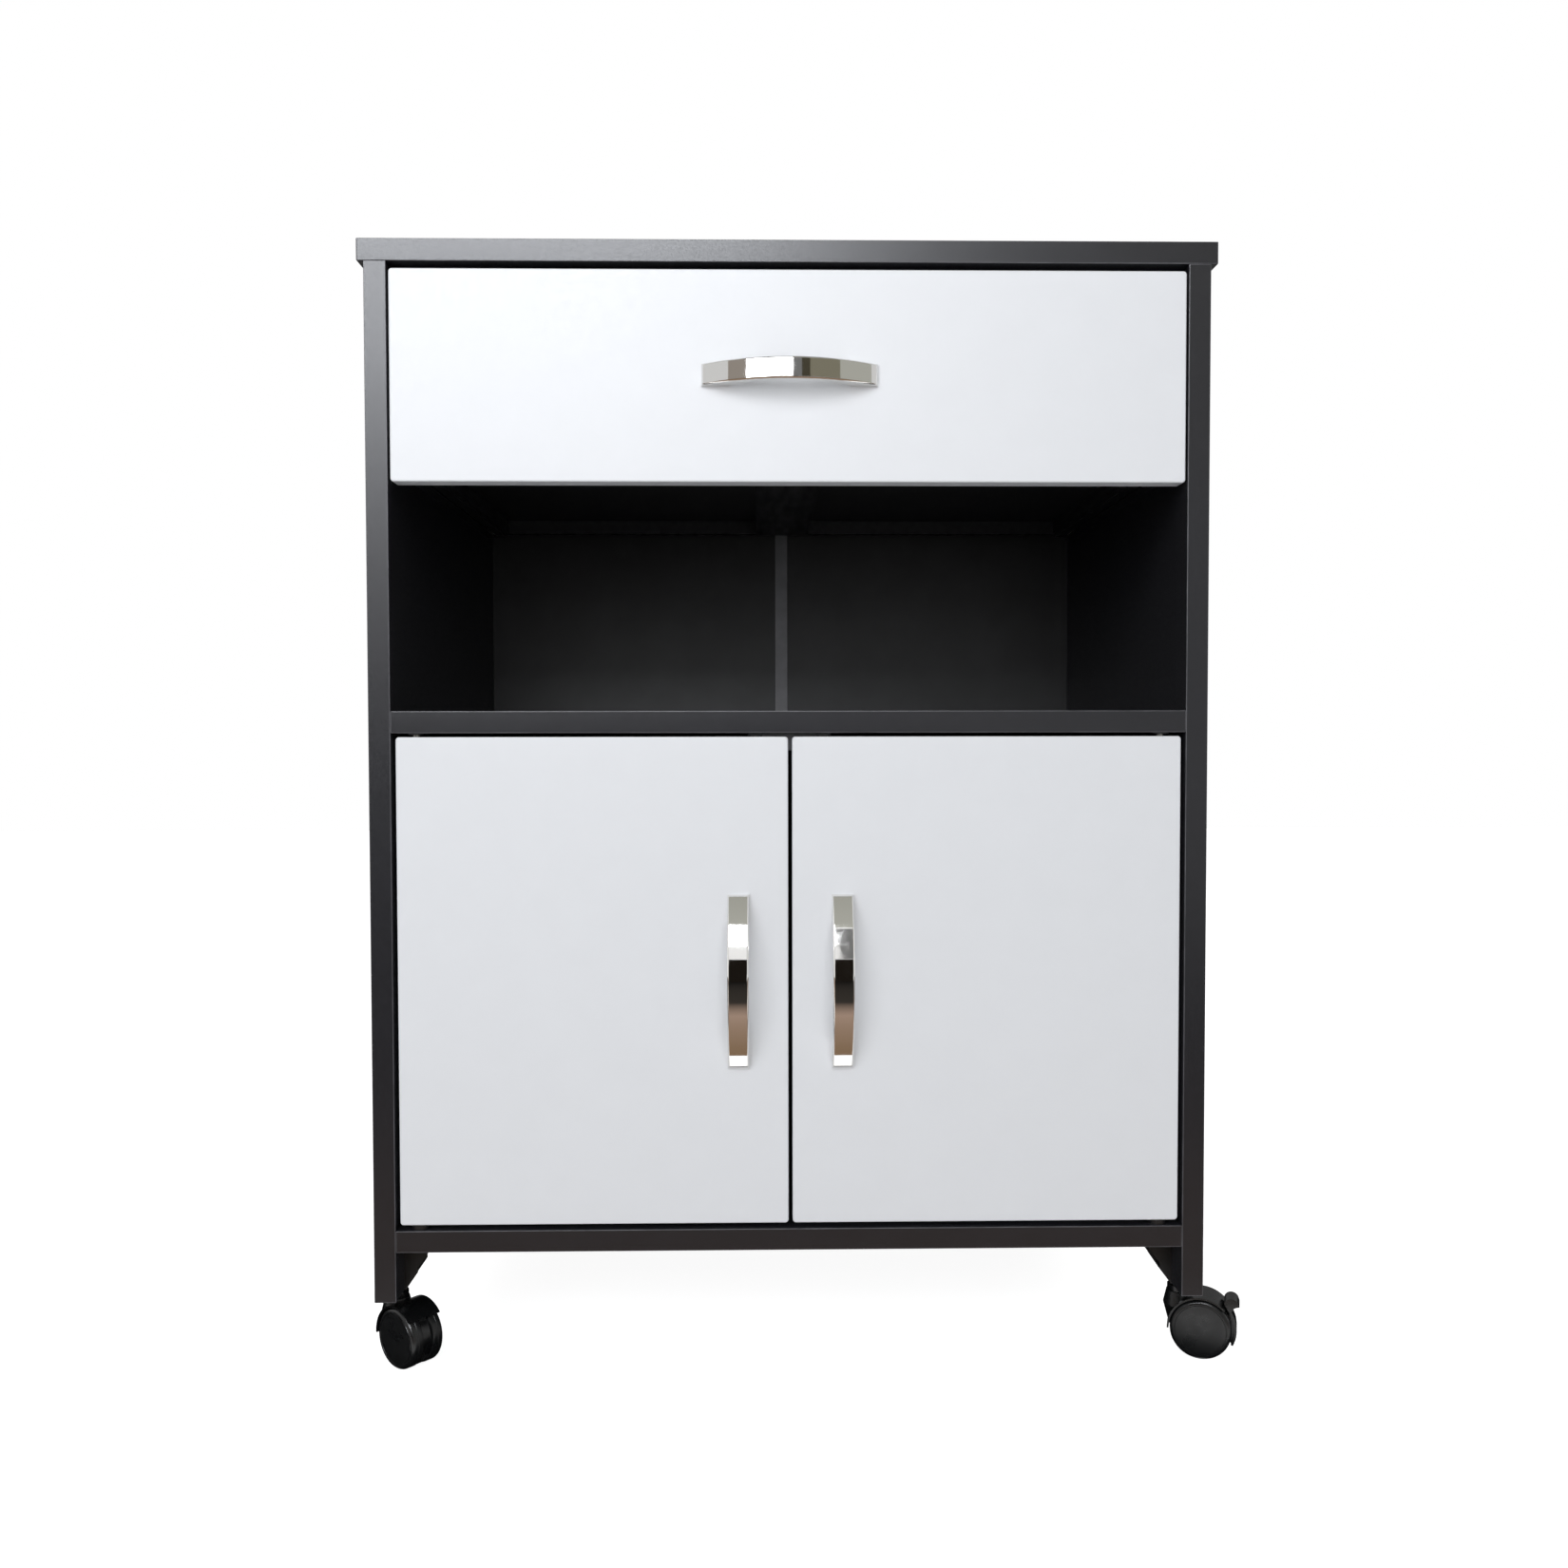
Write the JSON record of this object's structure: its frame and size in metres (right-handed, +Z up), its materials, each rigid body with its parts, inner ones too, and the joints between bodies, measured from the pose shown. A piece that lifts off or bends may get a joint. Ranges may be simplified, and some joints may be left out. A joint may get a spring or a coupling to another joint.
{
  "type": "microwave stand with drawer",
  "caption": "Rolling kitchen cabinet with a drawer over an open bay and a cupboard with two doors, on swivel casters.",
  "frame": {"origin": "on the floor under the middle of the stand's bounding box, handles and caster levers included", "axes": "+Z up, -Y the front with the drawer, doors and handles, +X to the right of someone facing the front"},
  "size_m": [0.6832, 0.429, 0.826],
  "materials": {
    "charcoal_melamine": "satin dark grey melamine face with matching edge band",
    "white_foil": "smooth white satin foil over board",
    "drawer_board": "dark matte foil over board",
    "hardboard": "dark lacquered hardboard",
    "joint_strip_plastic": "grey extruded plastic",
    "chrome_plate": "bright chrome plate",
    "runner_steel": "dark powder coat",
    "nylon": "natural nylon",
    "caster_plastic": "moulded black plastic",
    "wheel_plastic": "moulded black plastic",
    "gusset_plastic": "moulded black plastic",
    "bush_plastic": "dark moulded plastic",
    "cap_plastic": "dark grey stick-on cap",
    "catch_plastic": "grey moulded plastic",
    "magnet_ferrite": "ground magnet faces",
    "zinc_steel": "bright zinc plate"
  },
  "bodies": {
    "carcass": {"top_panel": "charcoal_melamine", "side_panel_left": "charcoal_melamine", "side_panel_right": "charcoal_melamine", "middle_shelf": "charcoal_melamine", "bottom_panel": "charcoal_melamine", "back_panel_left": "hardboard", "back_panel_right": "hardboard", "back_joint_strip": "joint_strip_plastic", "foot_gussets": "gusset_plastic", "runner_channel_left": "runner_steel", "runner_channel_right": "runner_steel", "catch_body": "catch_plastic", "catch_magnets": "magnet_ferrite", "pivot_bushes": "bush_plastic", "confirmat_screws": "zinc_steel", "screw_caps": "cap_plastic", "cam_fittings": "zinc_steel", "wood_screws": "zinc_steel", "back_nails": "zinc_steel", "caster_stems": "zinc_steel", "caster_sleeves": "bush_plastic"},
    "drawer": {"drawer_back": "drawer_board", "drawer_batten": "drawer_board", "drawer_bottom": "hardboard", "drawer_cam_fittings": "zinc_steel", "drawer_front": "white_foil", "drawer_handle": "chrome_plate", "drawer_rail_left": "runner_steel", "drawer_rail_right": "runner_steel", "drawer_screws": "zinc_steel", "drawer_side_left": "drawer_board", "drawer_side_right": "drawer_board"},
    "door_left": {"door_left": "white_foil", "door_handle_left": "chrome_plate", "door_screws_left": "zinc_steel", "door_pivot_pins_left": "zinc_steel", "door_strike_left": "zinc_steel"},
    "door_right": {"door_right": "white_foil", "door_handle_right": "chrome_plate", "door_screws_right": "zinc_steel", "door_pivot_pins_right": "zinc_steel", "door_strike_right": "zinc_steel"},
    "cabinet_roller_left": {"cabinet_roller_left": "nylon"},
    "drawer_roller_left": {"drawer_roller_left": "nylon"},
    "cabinet_roller_right": {"cabinet_roller_right": "nylon"},
    "drawer_roller_right": {"drawer_roller_right": "nylon"},
    "caster_front_left": {"caster_hood_front_left": "caster_plastic"},
    "wheel_a_front_left": {"caster_wheel_a_front_left": "wheel_plastic"},
    "wheel_b_front_left": {"caster_wheel_b_front_left": "wheel_plastic"},
    "caster_front_right": {"caster_hood_front_right": "caster_plastic"},
    "wheel_a_front_right": {"caster_wheel_a_front_right": "wheel_plastic"},
    "wheel_b_front_right": {"caster_wheel_b_front_right": "wheel_plastic"},
    "brake_lever_front_right": {"brake_lever_front_right": "caster_plastic"},
    "caster_rear_left": {"caster_hood_rear_left": "caster_plastic"},
    "wheel_a_rear_left": {"caster_wheel_a_rear_left": "wheel_plastic"},
    "wheel_b_rear_left": {"caster_wheel_b_rear_left": "wheel_plastic"},
    "brake_lever_rear_left": {"brake_lever_rear_left": "caster_plastic"},
    "caster_rear_right": {"caster_hood_rear_right": "caster_plastic"},
    "wheel_a_rear_right": {"caster_wheel_a_rear_right": "wheel_plastic"},
    "wheel_b_rear_right": {"caster_wheel_b_rear_right": "wheel_plastic"}
  },
  "joints": [
    {"name": "drawer_slide", "type": "slide", "parent": "carcass", "child": "drawer", "axis": [0, -1, 0], "range_m": [0, 0.27]},
    {"name": "door_left_swing", "type": "hinge", "parent": "carcass", "child": "door_left", "pos_m": [-0.2721, -0.1815, 0.29075], "axis": [0, 0, -1], "range_deg": [0, 110]},
    {"name": "door_right_swing", "type": "hinge", "parent": "carcass", "child": "door_right", "pos_m": [0.2721, -0.1815, 0.29075], "axis": [0, 0, 1], "range_deg": [0, 110]},
    {"name": "cabinet_roller_left_spin", "type": "hinge", "parent": "carcass", "child": "cabinet_roller_left", "pos_m": [-0.284, -0.1595, 0.6747], "axis": [1, 0, 0], "continuous": true},
    {"name": "drawer_roller_left_spin", "type": "hinge", "parent": "drawer", "child": "drawer_roller_left", "pos_m": [-0.2815, 0.1665, 0.6756], "axis": [1, 0, 0], "continuous": true},
    {"name": "cabinet_roller_right_spin", "type": "hinge", "parent": "carcass", "child": "cabinet_roller_right", "pos_m": [0.284, -0.1595, 0.6747], "axis": [1, 0, 0], "continuous": true},
    {"name": "drawer_roller_right_spin", "type": "hinge", "parent": "drawer", "child": "drawer_roller_right", "pos_m": [0.2815, 0.1665, 0.6756], "axis": [1, 0, 0], "continuous": true},
    {"name": "caster_front_left_swivel", "type": "hinge", "parent": "carcass", "child": "caster_front_left", "pos_m": [-0.297, -0.1555, 0.055], "axis": [0, 0, 1], "continuous": true},
    {"name": "wheel_a_front_left_spin", "type": "hinge", "parent": "caster_front_left", "child": "wheel_a_front_left", "pos_m": [-0.28455, -0.16633, 0.0225], "axis": [0.6561, 0.7547, 0], "continuous": true},
    {"name": "wheel_b_front_left_spin", "type": "hinge", "parent": "caster_front_left", "child": "wheel_b_front_left", "pos_m": [-0.28455, -0.16633, 0.0225], "axis": [0.6561, 0.7547, 0], "continuous": true},
    {"name": "caster_front_right_swivel", "type": "hinge", "parent": "carcass", "child": "caster_front_right", "pos_m": [0.297, -0.1555, 0.055], "axis": [0, 0, 1], "continuous": true},
    {"name": "wheel_a_front_right_spin", "type": "hinge", "parent": "caster_front_right", "child": "wheel_a_front_right", "pos_m": [0.3126, -0.16087, 0.0225], "axis": [0.3256, 0.9455, 0], "continuous": true},
    {"name": "wheel_b_front_right_spin", "type": "hinge", "parent": "caster_front_right", "child": "wheel_b_front_right", "pos_m": [0.3126, -0.16087, 0.0225], "axis": [0.3256, 0.9455, 0], "continuous": true},
    {"name": "brake_lever_front_right_press", "type": "hinge", "parent": "caster_front_right", "child": "brake_lever_front_right", "pos_m": [0.32829, -0.16627, 0.02308], "axis": [0.3256, 0.9455, 0], "range_deg": [0, 8]},
    {"name": "caster_rear_left_swivel", "type": "hinge", "parent": "carcass", "child": "caster_rear_left", "pos_m": [-0.297, 0.1765, 0.055], "axis": [0, 0, 1], "continuous": true},
    {"name": "wheel_a_rear_left_spin", "type": "hinge", "parent": "caster_rear_left", "child": "wheel_a_rear_left", "pos_m": [-0.3126, 0.18187, 0.0225], "axis": [-0.3256, -0.9455, 0], "continuous": true},
    {"name": "wheel_b_rear_left_spin", "type": "hinge", "parent": "caster_rear_left", "child": "wheel_b_rear_left", "pos_m": [-0.3126, 0.18187, 0.0225], "axis": [-0.3256, -0.9455, 0], "continuous": true},
    {"name": "brake_lever_rear_left_press", "type": "hinge", "parent": "caster_rear_left", "child": "brake_lever_rear_left", "pos_m": [-0.32829, 0.18727, 0.02308], "axis": [-0.3256, -0.9455, 0], "range_deg": [0, 8]},
    {"name": "caster_rear_right_swivel", "type": "hinge", "parent": "carcass", "child": "caster_rear_right", "pos_m": [0.297, 0.1765, 0.055], "axis": [0, 0, 1], "continuous": true},
    {"name": "wheel_a_rear_right_spin", "type": "hinge", "parent": "caster_rear_right", "child": "wheel_a_rear_right", "pos_m": [0.28707, 0.16332, 0.0225], "axis": [0.7986, -0.6018, 0], "continuous": true},
    {"name": "wheel_b_rear_right_spin", "type": "hinge", "parent": "caster_rear_right", "child": "wheel_b_rear_right", "pos_m": [0.28707, 0.16332, 0.0225], "axis": [0.7986, -0.6018, 0], "continuous": true}
  ],
  "couplings": [
    {"joint": "cabinet_roller_left_spin", "follows": "drawer_slide", "rad_per_m": 111.11},
    {"joint": "drawer_roller_left_spin", "follows": "drawer_slide", "rad_per_m": 111.11},
    {"joint": "cabinet_roller_right_spin", "follows": "drawer_slide", "rad_per_m": 111.11},
    {"joint": "drawer_roller_right_spin", "follows": "drawer_slide", "rad_per_m": 111.11}
  ]
}
